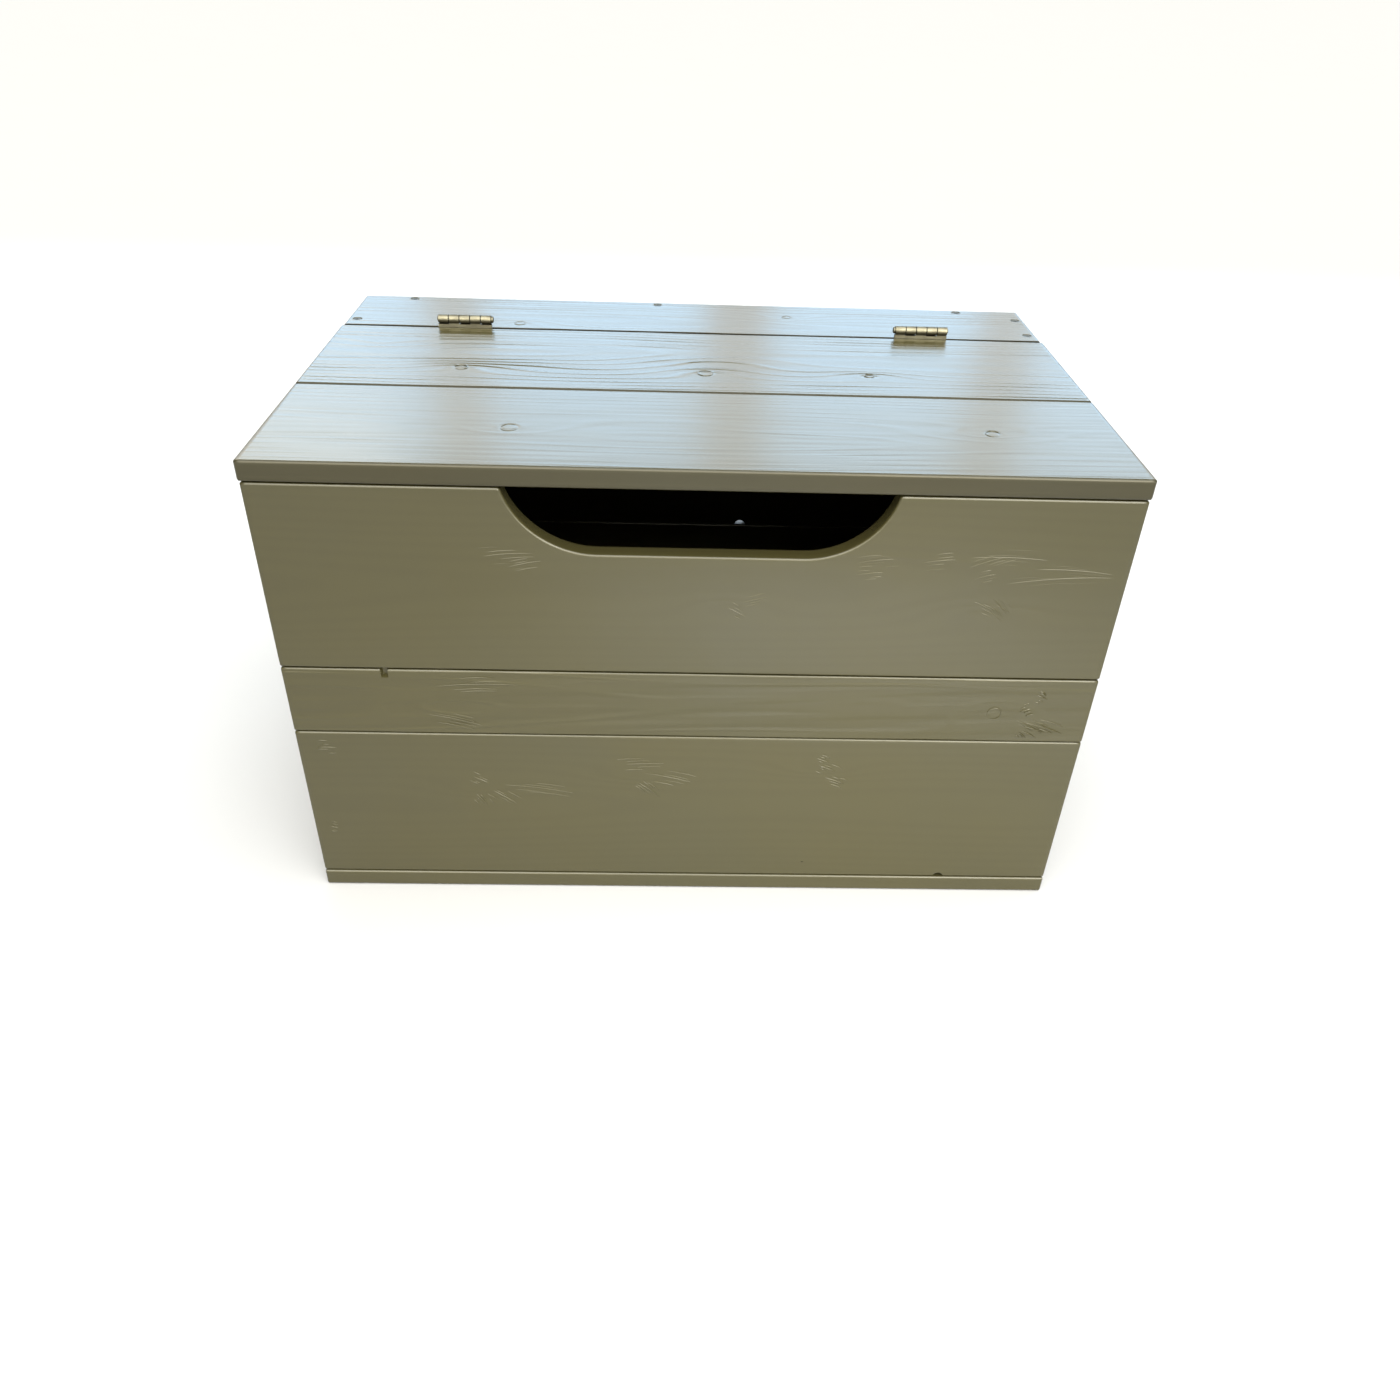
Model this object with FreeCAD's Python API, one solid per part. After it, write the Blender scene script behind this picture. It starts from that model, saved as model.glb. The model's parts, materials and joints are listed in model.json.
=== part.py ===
import FreeCAD, Part
import math
import os

Vector = FreeCAD.Vector

# Toy chest of painted softwood boards, lid closed. Millimetres.
# Origin in the middle of the underside, +X to the right of someone facing the front, +Y to the back, +Z up.

# Box
chest_length = 800.0
chest_depth = 504.0
chest_height = 502.0      # to the top of the closed lid
wall_thickness = 20.0
base_thickness = 20.0
lower_board_height = 191.0
middle_board_height = 77.0
base_front_width = 191.0
base_rear_width = 121.0

# Top: a fixed rail at the back and a lid of two boards in front of it
lid_thickness = 20.0
rail_thickness = 20.0
lid_front_width = 191.0
rail_width = 116.5
lid_gap = 1.0             # air between the closed lid and the walls
lid_overhang = 1.0        # lid past the walls at each end

# Planed boards: rounded long edges and slightly eased ends
edge_round = 2.5
end_chamfer = 1.2

# Hand cut-out in the top edge of the front, sawn by hand and so a little uneven
scoop_depth = 64.0
scoop_flat_length = 188.0
scoop_shift = 3.0         # middle of the flat, to the right of the chest's middle
scoop_left_radius = 88.0
scoop_right_radius = 83.0
scoop_corner_round = 4.0

# Places where a knot has fallen out of a board's edge
back_knot_x = 69.5
back_knot_radius = 7.2
front_knot_x = 280.0
front_knot_radius = 6.0
front_knot_depth = 12.0
chip_x = -301.0
chip_width = 7.0
chip_height = 9.0
chip_depth = 5.0
chip_round = 1.5

# Battens inside the corners and under the lid
batten_width = 28.0
batten_round = 1.5
front_batten_drop = 15.0  # front battens end this far below the wall's top
lid_batten_width = 44.0
lid_batten_thickness = 20.0
lid_batten_inset = 150.0  # from the chest's end to the batten's middle
lid_batten_front_gap = 15.0
lid_batten_rear_gap = 12.0

# Butt hinges, leaves upright in the gap between rail and lid, barrel above the top
hinge_length = 60.0
left_hinge_inset = 138.0  # from the chest's end to the hinge's middle
right_hinge_inset = 141.0
leaf_thickness = 2.0
leaf_play = 0.5           # air between the closed leaves
leaf_drop = 24.0          # from the pin's axis to the leaf's lower edge
axis_rise = 8.5           # pin's axis above the lid's top
knuckle_count = 5
knuckle_gap = 0.3
knuckle_chamfer = 0.35
pin_radius = 2.5
pin_clearance = 0.05
pin_head_radius = 3.6
pin_head_length = 2.4
pin_head_round = 1.4
pin_tail_length = 0.8
pin_tail_chamfer = 0.4
neck_round = 3.0          # hollow curve from the leaf's face into the barrel
notch_clearance = 0.6     # from a knuckle to the edge of the other leaf

# Countersunk wood screws
screw_clearance = 0.05
screw_sink = 0.8          # heads this far below the surface
hinge_screw_sink = 0.1
recess_reach = 0.55       # cross recess: arm, width and depth as shares of the head's radius
recess_width = 0.22
recess_depth = 0.4
screw_turn = 37.0         # degrees from one screw's recess to the next one's
wall_screw_radius = 2.0
wall_screw_head = 4.5
corner_screw_length = 40.0
rail_screw_length = 45.0
base_screw_length = 45.0
lid_screw_length = 35.0
hinge_screw_radius = 1.5
hinge_screw_head = 2.9
hinge_screw_length = 16.0
hinge_screw_edge = 10.0   # from the leaf's end to its outer screws
hinge_screw_depth = 10.0  # below the lid's top
corner_screw_stagger = 12.0
corner_screw_edge = 45.0  # from the edge of a wide board to its screws
rail_end_screw_inset = 21.5
rail_end_screw_pitch = 58.0
rail_left_screw_inset = 60.0    # from the chest's ends, spaced by eye
rail_right_screw_inset = 77.0
rail_middle_screw_shift = 45.0  # to the left of the chest's middle
base_screw_inset = 100.0
base_side_screw_edge = 60.0
lid_screw_edge = 45.0

# Worked-out places
front_y = -chest_depth / 2
back_y = chest_depth / 2
front_inner_y = front_y + wall_thickness
back_inner_y = back_y - wall_thickness
side_x = chest_length / 2
side_inner_x = side_x - wall_thickness
side_middle_x = side_x - wall_thickness / 2
middle_board_z = base_thickness + lower_board_height
upper_board_z = middle_board_z + middle_board_height
lid_top = chest_height
lid_z = lid_top - lid_thickness
wall_top = lid_z - lid_gap
hinge_gap = 2 * leaf_thickness + leaf_play
rail_y = back_y - rail_width
lid_rear_y = rail_y - hinge_gap
lid_joint_y = front_y + lid_front_width
axis_y = rail_y - hinge_gap / 2
axis_z = lid_top + axis_rise
bore_radius = pin_radius + pin_clearance
barrel_radius = bore_radius + leaf_thickness

near = 0.01               # an edge this close to a plane lies in it

nodes = {}


def box(low, high):
    size = high - low
    return Part.makeBox(size.x, size.y, size.z, low)


def edges_along(shape, direction):
    found = []
    for edge in shape.Edges:
        if not isinstance(edge.Curve, Part.Line):
            continue
        if abs(edge.tangentAt(edge.FirstParameter).dot(direction)) > 0.999:
            found.append(edge)
    return found


def edges_at_x(shape, x):
    bounds = [(edge, edge.BoundBox) for edge in shape.Edges]
    return [edge for edge, b in bounds if abs(b.XMin - x) < near and abs(b.XMax - x) < near]


def long_board(low, high):
    # A board along X with rounded long edges and eased ends
    board = box(low, high)
    board = board.makeFillet(edge_round, edges_along(board, Vector(1, 0, 0)))
    return board.makeChamfer(end_chamfer, edges_at_x(board, low.x) + edges_at_x(board, high.x))


def side_board(low, high):
    # A board along Y whose square-cut ends butt against the front and the back
    board = box(low, high)
    return board.makeFillet(edge_round, edges_along(board, Vector(0, 1, 0)))


def batten(low, high, direction):
    stick = box(low, high)
    return stick.makeFillet(batten_round, edges_along(stick, direction))


def y_cylinder(x, z, radius, y_from, y_to):
    return Part.makeCylinder(radius, y_to - y_from, Vector(x, y_from, z), Vector(0, 1, 0))


def arc_edge(centre, radius, start_angle, end_angle):
    # Arc in an XZ plane, angles in radians from +X towards +Z
    def point(angle):
        return centre + Vector(radius * math.cos(angle), 0, radius * math.sin(angle))

    middle_angle = (start_angle + end_angle) / 2
    return Part.Arc(point(start_angle), point(middle_angle), point(end_angle)).toShape()


def scoop_cutter():
    # Flat bottom between two arcs that are tangent to it, open at the top
    bottom_z = wall_top - scoop_depth
    y = front_y - wall_thickness
    left_x = scoop_shift - scoop_flat_length / 2
    right_x = scoop_shift + scoop_flat_length / 2
    left_centre = Vector(left_x, y, bottom_z + scoop_left_radius)
    right_centre = Vector(right_x, y, bottom_z + scoop_right_radius)
    down = -math.pi / 2
    left_reach = math.acos((scoop_left_radius - scoop_depth) / scoop_left_radius)
    right_reach = math.acos((scoop_right_radius - scoop_depth) / scoop_right_radius)
    left_arc = arc_edge(left_centre, scoop_left_radius, down - left_reach, down)
    right_arc = arc_edge(right_centre, scoop_right_radius, down, down + right_reach)
    left_top = left_arc.valueAt(left_arc.FirstParameter)
    right_top = right_arc.valueAt(right_arc.LastParameter)
    flat = Part.makeLine(Vector(left_x, y, bottom_z), Vector(right_x, y, bottom_z))
    lid_line = Part.makeLine(right_top, left_top)
    outline = Part.Wire(Part.__sortEdges__([left_arc, flat, right_arc, lid_line]))
    return Part.Face(outline).extrude(Vector(0, 3 * wall_thickness, 0))


def scooped_board(low, high):
    # The front's upper board: every edge of its two faces is rounded, also round the cut-out
    board = box(low, high).cut(scoop_cutter())
    corners = [e for e in edges_along(board, Vector(0, 1, 0)) if abs(e.BoundBox.XMin) < side_x / 2]
    corners = [e for e in corners if e.BoundBox.ZMin > high.z - scoop_corner_round]
    board = board.makeFillet(scoop_corner_round, corners)
    outline = []
    for edge in board.Edges:
        bounds = edge.BoundBox
        in_face = bounds.YLength < near
        at_end = bounds.XLength < near
        if in_face and not at_end:
            outline.append(edge)
    board = board.makeFillet(edge_round, outline)
    return board.makeChamfer(end_chamfer, edges_at_x(board, low.x) + edges_at_x(board, high.x))


def chip_cutter():
    # A small hollow broken out of the front middle board's upper edge
    low = Vector(chip_x - chip_width / 2, front_y - edge_round, upper_board_z - chip_height)
    high = Vector(chip_x + chip_width / 2, front_y + chip_depth, upper_board_z + chip_height)
    hollow = box(low, high)
    lower = [e for e in edges_along(hollow, Vector(0, 1, 0)) if e.BoundBox.ZMax < upper_board_z]
    return hollow.makeFillet(chip_round, lower)


def make_walls():
    levels = {
        "lower": (base_thickness, middle_board_z),
        "middle": (middle_board_z, upper_board_z),
        "upper": (upper_board_z, wall_top),
    }
    for level, (low_z, high_z) in levels.items():
        front_low = Vector(-side_x, front_y, low_z)
        front_high = Vector(side_x, front_inner_y, high_z)
        front_board = scooped_board if level == "upper" else long_board
        nodes["front_" + level + "_board"] = front_board(front_low, front_high)
        back_low = Vector(-side_x, back_inner_y, low_z)
        back_high = Vector(side_x, back_y, high_z)
        nodes["back_" + level + "_board"] = long_board(back_low, back_high)
        left_low = Vector(-side_x, front_inner_y, low_z)
        left_high = Vector(-side_inner_x, back_inner_y, high_z)
        nodes["left_" + level + "_board"] = side_board(left_low, left_high)
        right_low = Vector(side_inner_x, front_inner_y, low_z)
        right_high = Vector(side_x, back_inner_y, high_z)
        nodes["right_" + level + "_board"] = side_board(right_low, right_high)
    front_knot_end = front_y + front_knot_depth
    front_knot = y_cylinder(front_knot_x, base_thickness, front_knot_radius, front_y, front_knot_end)
    back_knot = y_cylinder(back_knot_x, middle_board_z, back_knot_radius, back_inner_y, back_y)
    nodes["front_lower_board"] = nodes["front_lower_board"].cut(front_knot)
    nodes["front_middle_board"] = nodes["front_middle_board"].cut(chip_cutter())
    nodes["back_middle_board"] = nodes["back_middle_board"].cut(back_knot)


def make_base():
    joints = [front_y, front_y + base_front_width, back_y - base_rear_width, back_y]
    names = ["base_front_board", "base_middle_board", "base_rear_board"]
    for name, low_y, high_y in zip(names, joints[:-1], joints[1:]):
        nodes[name] = long_board(Vector(-side_x, low_y, 0), Vector(side_x, high_y, base_thickness))


def make_corner_battens():
    front_top = wall_top - front_batten_drop
    rows = {
        "front": (front_inner_y, front_inner_y + batten_width, front_top),
        "back": (back_inner_y - batten_width, back_inner_y, wall_top),
    }
    columns = {
        "left": (-side_inner_x, -side_inner_x + batten_width),
        "right": (side_inner_x - batten_width, side_inner_x),
    }
    for row, (low_y, high_y, top) in rows.items():
        for column, (low_x, high_x) in columns.items():
            low = Vector(low_x, low_y, base_thickness)
            high = Vector(high_x, high_y, top)
            nodes[row + "_" + column + "_batten"] = batten(low, high, Vector(0, 0, 1))


def make_top():
    rail_low = Vector(-side_x, rail_y, wall_top)
    rail_high = Vector(side_x, back_y, wall_top + rail_thickness)
    nodes["rear_rail"] = long_board(rail_low, rail_high)
    lid_x = side_x + lid_overhang
    front_high = Vector(lid_x, lid_joint_y, lid_top)
    nodes["lid_front_board"] = long_board(Vector(-lid_x, front_y, lid_z), front_high)
    rear_high = Vector(lid_x, lid_rear_y, lid_top)
    nodes["lid_rear_board"] = long_board(Vector(-lid_x, lid_joint_y, lid_z), rear_high)
    half_width = lid_batten_width / 2
    low_y = front_inner_y + lid_batten_front_gap
    high_y = lid_rear_y - lid_batten_rear_gap
    for side, middle_x in lid_batten_places().items():
        low = Vector(middle_x - half_width, low_y, lid_z - lid_batten_thickness)
        high = Vector(middle_x + half_width, high_y, lid_z)
        nodes[side + "_lid_batten"] = batten(low, high, Vector(0, 1, 0))


def lid_batten_places():
    return {"left": -side_x + lid_batten_inset, "right": side_x - lid_batten_inset}


def neck_profile():
    # Section of a leaf where it runs into its knuckle, about the pin's axis: the outer face leaves the
    # plate on a hollow arc that is tangent to the plate and to the barrel
    inner_y = leaf_play / 2
    outer_y = inner_y + leaf_thickness
    centre_y = outer_y + neck_round
    reach = barrel_radius + neck_round
    centre_z = -math.sqrt(reach ** 2 - centre_y ** 2)
    share = barrel_radius / reach
    on_plate = Vector(0, outer_y, centre_z)
    on_barrel = Vector(0, centre_y * share, centre_z * share)
    arc_centre = Vector(0, centre_y, centre_z)
    bisector = (on_plate + on_barrel) / 2 - arc_centre
    between = arc_centre + bisector.normalize().multiply(neck_round)
    foot_z = centre_z - leaf_thickness
    inner_foot = Vector(0, inner_y, foot_z)
    outer_foot = Vector(0, outer_y, foot_z)
    inner_top = Vector(0, inner_y, 0)
    edges = [
        Part.makeLine(inner_foot, outer_foot),
        Part.makeLine(outer_foot, on_plate),
        Part.Arc(on_plate, between, on_barrel).toShape(),
        Part.makeLine(on_barrel, inner_top),
        Part.makeLine(inner_top, inner_foot),
    ]
    return Part.Face(Part.Wire(edges))


def hinge_leaf(knuckles):
    # A leaf on the +Y side of the pin's axis, with the knuckles of the given places rolled onto its top
    inner_y = leaf_play / 2
    plate_top = -(barrel_radius + notch_clearance)
    low = Vector(-hinge_length / 2, inner_y, -leaf_drop)
    leaf = box(low, Vector(hinge_length / 2, inner_y + leaf_thickness, plate_top))
    pitch = hinge_length / knuckle_count
    width = pitch - knuckle_gap
    for place in knuckles:
        start_x = -hinge_length / 2 + place * pitch + knuckle_gap / 2
        knuckle = Part.makeCylinder(barrel_radius, width, Vector(start_x, 0, 0), Vector(1, 0, 0))
        rims = edges_at_x(knuckle, start_x) + edges_at_x(knuckle, start_x + width)
        knuckle = knuckle.makeChamfer(knuckle_chamfer, rims)
        neck = neck_profile().extrude(Vector(width - 2 * knuckle_chamfer, 0, 0))
        neck.translate(Vector(start_x + knuckle_chamfer, 0, 0))
        leaf = leaf.fuse([knuckle, neck])
    bore = Part.makeCylinder(bore_radius, 2 * hinge_length, Vector(-hinge_length, 0, 0), Vector(1, 0, 0))
    return leaf.cut(bore).removeSplitter()


def hinge_pin():
    # Plain pin with a rounded head at its +X end and a short tail at the other
    tail_x = -hinge_length / 2 - pin_tail_length
    head_x = hinge_length / 2
    along = Vector(1, 0, 0)
    shank = Part.makeCylinder(pin_radius, head_x - tail_x, Vector(tail_x, 0, 0), along)
    shank = shank.makeChamfer(pin_tail_chamfer, edges_at_x(shank, tail_x))
    head = Part.makeCylinder(pin_head_radius, pin_head_length, Vector(head_x, 0, 0), along)
    head = head.makeFillet(pin_head_round, edges_at_x(head, head_x + pin_head_length))
    return shank.fuse(head).removeSplitter()


def make_hinges():
    # The right hinge is the left one turned half round, so its three-knuckle leaf is on the lid
    odd_leaf = hinge_leaf(range(0, knuckle_count, 2))
    even_leaf = hinge_leaf(range(1, knuckle_count, 2))
    even_leaf.rotate(Vector(0, 0, 0), Vector(0, 0, 1), 180)
    pieces = {"rail_leaf": odd_leaf, "lid_leaf": even_leaf, "pin": hinge_pin()}
    turned_names = {"rail_leaf": "lid_leaf", "lid_leaf": "rail_leaf", "pin": "pin"}
    for piece, shape in pieces.items():
        left = shape.copy()
        left.translate(Vector(-side_x + left_hinge_inset, axis_y, axis_z))
        nodes["left_hinge_" + piece] = left
        right = shape.copy()
        right.rotate(Vector(0, 0, 0), Vector(0, 0, 1), 180)
        right.translate(Vector(side_x - right_hinge_inset, axis_y, axis_z))
        nodes["right_hinge_" + turned_names[piece]] = right


def screw_solid(head_radius, shank_radius, length, growth, mouth):
    # Turned about Z with the head's face at z 0; growth and mouth make it the cutter of its own hole
    head = head_radius + growth
    shank = shank_radius + growth
    outline = [
        Vector(0, 0, mouth),
        Vector(head, 0, mouth),
        Vector(head, 0, 0),
        Vector(shank, 0, shank - head),
        Vector(shank, 0, -length - growth),
        Vector(0, 0, -length - growth),
        Vector(0, 0, mouth),
    ]
    corners = [p for p, q in zip(outline[:-1], outline[1:]) if p.distanceToPoint(q) > 1e-6]
    face = Part.Face(Part.makePolygon(corners + corners[:1]))
    return face.revolve(Vector(0, 0, 0), Vector(0, 0, 1), 360)


def cross_recess(head_radius):
    # Two crossing slots, cut into the head's face
    reach = recess_reach * head_radius
    half_width = recess_width * head_radius / 2
    depth = recess_depth * head_radius
    slot = box(Vector(-reach, -half_width, -depth), Vector(reach, half_width, depth))
    crossing = slot.copy()
    crossing.rotate(Vector(0, 0, 0), Vector(0, 0, 1), 90)
    return slot.fuse(crossing).removeSplitter()


def drive_screws(name, places, directions, sizes, drilled):
    # Sets one screw at each place on a surface, sunk a little, and drills every listed node that it meets
    head_radius, shank_radius, length, sink = sizes
    solid = screw_solid(head_radius, shank_radius, length, 0, 0).cut(cross_recess(head_radius))
    cutter = screw_solid(head_radius, shank_radius, length, screw_clearance, 2 * sink)
    screws = []
    holes = []
    for count, (place, direction) in enumerate(zip(places, directions)):
        spin = FreeCAD.Rotation(Vector(0, 0, 1), count * screw_turn)
        turn = FreeCAD.Rotation(Vector(0, 0, -1), direction).multiply(spin)
        seat = FreeCAD.Placement(place + direction * sink, turn)
        for shape, group in ((solid, screws), (cutter, holes)):
            placed = shape.copy()
            placed.Placement = seat
            group.append(placed)
    nodes[name] = Part.makeCompound(screws)
    for node in drilled:
        board = nodes[node]
        meets = [hole for hole in holes if hole.BoundBox.intersect(board.BoundBox)]
        if meets:
            nodes[node] = board.cut(meets)


def corner_screw_heights(shift):
    lower = [base_thickness + corner_screw_edge, middle_board_z - corner_screw_edge]
    upper = [upper_board_z + corner_screw_edge, wall_top - corner_screw_edge]
    middle = [(middle_board_z + upper_board_z) / 2]
    return [height + shift for height in lower + middle + upper]


def drive_corner_screws():
    # From inside through each corner batten, into the front or back and, staggered, into the side
    places = []
    directions = []
    middle = batten_width / 2
    for sign_x in (-1, 1):
        for sign_y in (-1, 1):
            batten_x = sign_x * (side_inner_x - middle)
            batten_y = sign_y * (back_inner_y - middle)
            for height in corner_screw_heights(-corner_screw_stagger / 2):
                places.append(Vector(batten_x, batten_y - sign_y * middle, height))
                directions.append(Vector(0, sign_y, 0))
            for height in corner_screw_heights(corner_screw_stagger / 2):
                places.append(Vector(batten_x - sign_x * middle, batten_y, height))
                directions.append(Vector(sign_x, 0, 0))
    drilled = [n for n in nodes if n.startswith(("front_", "back_", "left_", "right_"))]
    drilled = [n for n in drilled if "hinge" not in n and "lid" not in n]
    sizes = (wall_screw_head, wall_screw_radius, corner_screw_length, screw_sink)
    drive_screws("corner_screws", places, directions, sizes, drilled)


def drive_rail_screws():
    top = wall_top + rail_thickness
    places = []
    for x in (-side_middle_x, side_middle_x):
        for step in range(2):
            places.append(Vector(x, rail_y + rail_end_screw_inset + step * rail_end_screw_pitch, top))
    back_row = [rail_left_screw_inset - side_x, -rail_middle_screw_shift, side_x - rail_right_screw_inset]
    places += [Vector(x, back_y - wall_thickness / 2, top) for x in back_row]
    directions = [Vector(0, 0, -1)] * len(places)
    drilled = ["rear_rail", "left_upper_board", "right_upper_board", "back_upper_board"]
    sizes = (wall_screw_head, wall_screw_radius, rail_screw_length, screw_sink)
    drive_screws("rail_screws", places, directions, sizes, drilled)


def drive_base_screws():
    front_joint = front_y + base_front_width
    rear_joint = back_y - base_rear_width
    side_rows = [
        front_joint - base_side_screw_edge,
        front_joint + base_side_screw_edge,
        rear_joint - base_side_screw_edge,
        rear_joint + base_side_screw_edge,
    ]
    places = [Vector(sign * side_middle_x, y, 0) for sign in (-1, 1) for y in side_rows]
    reach = side_x - base_screw_inset
    for y in (front_y + wall_thickness / 2, back_y - wall_thickness / 2):
        places += [Vector(x, y, 0) for x in (-reach, 0, reach)]
    directions = [Vector(0, 0, 1)] * len(places)
    walls = ["front_lower_board", "back_lower_board", "left_lower_board", "right_lower_board"]
    bases = ["base_front_board", "base_middle_board", "base_rear_board"]
    sizes = (wall_screw_head, wall_screw_radius, base_screw_length, screw_sink)
    drive_screws("base_screws", places, directions, sizes, walls + bases)


def drive_lid_screws():
    underside = lid_z - lid_batten_thickness
    first = front_inner_y + lid_batten_front_gap + lid_screw_edge
    last = lid_rear_y - lid_batten_rear_gap - lid_screw_edge
    rows = [first, lid_joint_y - lid_screw_edge, lid_joint_y + lid_screw_edge, last]
    places = [Vector(x, y, underside) for x in lid_batten_places().values() for y in rows]
    directions = [Vector(0, 0, 1)] * len(places)
    drilled = ["left_lid_batten", "right_lid_batten", "lid_front_board", "lid_rear_board"]
    sizes = (wall_screw_head, wall_screw_radius, lid_screw_length, screw_sink)
    drive_screws("lid_batten_screws", places, directions, sizes, drilled)


def drive_hinge_screws():
    height = lid_top - hinge_screw_depth
    reach = hinge_length / 2 - hinge_screw_edge
    middles = (-side_x + left_hinge_inset, side_x - right_hinge_inset)
    sizes = (hinge_screw_head, hinge_screw_radius, hinge_screw_length, hinge_screw_sink)
    sides = {
        "lid": (axis_y - leaf_play / 2, Vector(0, -1, 0), "lid_rear_board"),
        "rail": (axis_y + leaf_play / 2, Vector(0, 1, 0), "rear_rail"),
    }
    for side, (y, direction, board) in sides.items():
        places = []
        for middle in middles:
            places += [Vector(middle + step, y, height) for step in (-reach, 0, reach)]
        drilled = ["left_hinge_" + side + "_leaf", "right_hinge_" + side + "_leaf", board]
        drive_screws(side + "_hinge_screws", places, [direction] * len(places), sizes, drilled)


make_walls()
make_base()
make_corner_battens()
make_top()
make_hinges()
drive_corner_screws()
drive_rail_screws()
drive_base_screws()
drive_lid_screws()
drive_hinge_screws()

os.makedirs("parts", exist_ok=True)
for node, shape in nodes.items():
    shape.exportStep("parts/" + node + ".step")
    state = "valid" if shape.isValid() else "not valid"
    print(node, len(shape.Solids), "solids", round(shape.Volume), "mm3", state)
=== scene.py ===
import json

import bpy
import numpy as np
from mathutils import Matrix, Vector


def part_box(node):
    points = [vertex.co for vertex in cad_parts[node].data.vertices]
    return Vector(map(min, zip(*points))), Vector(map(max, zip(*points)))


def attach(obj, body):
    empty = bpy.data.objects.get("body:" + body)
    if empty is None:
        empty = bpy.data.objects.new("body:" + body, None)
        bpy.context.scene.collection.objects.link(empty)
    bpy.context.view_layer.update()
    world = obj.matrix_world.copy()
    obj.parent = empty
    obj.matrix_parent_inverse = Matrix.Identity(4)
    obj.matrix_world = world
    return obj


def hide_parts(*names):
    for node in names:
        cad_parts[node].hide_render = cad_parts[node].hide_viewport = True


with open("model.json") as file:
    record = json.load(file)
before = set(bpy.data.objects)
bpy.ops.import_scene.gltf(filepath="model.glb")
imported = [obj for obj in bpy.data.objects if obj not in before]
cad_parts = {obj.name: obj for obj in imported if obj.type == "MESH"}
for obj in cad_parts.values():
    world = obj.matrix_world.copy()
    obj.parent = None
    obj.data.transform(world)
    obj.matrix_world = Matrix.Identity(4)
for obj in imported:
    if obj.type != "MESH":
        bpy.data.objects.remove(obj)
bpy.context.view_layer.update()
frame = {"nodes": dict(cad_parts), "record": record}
bodyMembers = frame["record"]["behaviour"]["bodies"]
bodyOfNode = {node: body for body, members in bodyMembers.items() for node in members}
mm = 0.001


# Node trees

def newMaterial(name):
    material = bpy.data.materials.new(name)
    material.use_nodes = True
    return material, material.node_tree, material.node_tree.nodes["Principled BSDF"]


def addNode(tree, kind, inputs=None, **settings):
    # inputs: socket name or number -> a value, or the output socket to link from
    made = tree.nodes.new(kind)
    for key, value in settings.items():
        setattr(made, key, value)
    for key, value in (inputs or {}).items():
        if isinstance(value, bpy.types.NodeSocket):
            tree.links.new(value, made.inputs[key])
        else:
            made.inputs[key].default_value = value
    return made


def stretched(tree, vector, scale):
    return addNode(tree, "ShaderNodeMapping", {"Vector": vector, "Scale": scale}).outputs["Vector"]


def noise(tree, vector, detail=2.0, roughness=0.5):
    inputs = {"Vector": vector, "Scale": 1.0, "Detail": detail, "Roughness": roughness}
    return addNode(tree, "ShaderNodeTexNoise", inputs).outputs["Fac"]


def spread(tree, value, low, high, outLow, outHigh):
    inputs = {"Value": value, "From Min": low, "From Max": high, "To Min": outLow, "To Max": outHigh}
    return addNode(tree, "ShaderNodeMapRange", inputs).outputs["Result"]


def math(tree, operation, first, second=0.0):
    return addNode(tree, "ShaderNodeMath", {0: first, 1: second}, operation=operation).outputs["Value"]


def blendColour(tree, factor, first, second):
    made = addNode(tree, "ShaderNodeMix", data_type="RGBA")
    for socket, value in ((made.inputs[0], factor), (made.inputs[6], first), (made.inputs[7], second)):
        if isinstance(value, bpy.types.NodeSocket):
            tree.links.new(value, socket)
        else:
            socket.default_value = value
    return made.outputs[2]


def bump(tree, height, strength, distance):
    inputs = {"Height": height, "Strength": strength, "Distance": distance}
    return addNode(tree, "ShaderNodeBump", inputs).outputs["Normal"]


# Finishes

paintLook = {
    "warm": (0.060, 0.052, 0.0185, 1.0),
    "grey": (0.057, 0.051, 0.021, 1.0),
    "hollow": (0.040, 0.034, 0.0125, 1.0),
    "patches": (4.0, 4.0, 4.0),          # per metre, slow drift of the tint
    "patchSpan": (0.35, 0.65),           # noise values where the tint is all warm and all grey
    "fibre": (7.0, 420.0, 420.0),        # per metre along, across and into the board
    "fibreStrength": 0.04,
    "fibreDepth": 0.05 * mm,
    "ringShade": 0.10,                   # how much darker the paint lies in the soft wood between the rings
    "ringSpan": (-1.0, 0.4),             # of the ring wave, from full shade to none
    "streaks": (9.0, 120.0, 120.0),      # per metre
    "streakSpan": (0.3, 0.7),            # noise values at the least and the most roughness
    "roughness": (0.235, 0.265),
    "seam": (0.010, 0.008, 0.004, 1.0),  # painted shade for the joints' grooves, cracks, the lid's front edge and the screw recesses
    "seamRoughness": 0.5,                # added to the paint's where the painted shade is darkest
    "screwShade": 0.62,                  # painted shade for the shadow in the recesses of the painted-over screw heads
}


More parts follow.
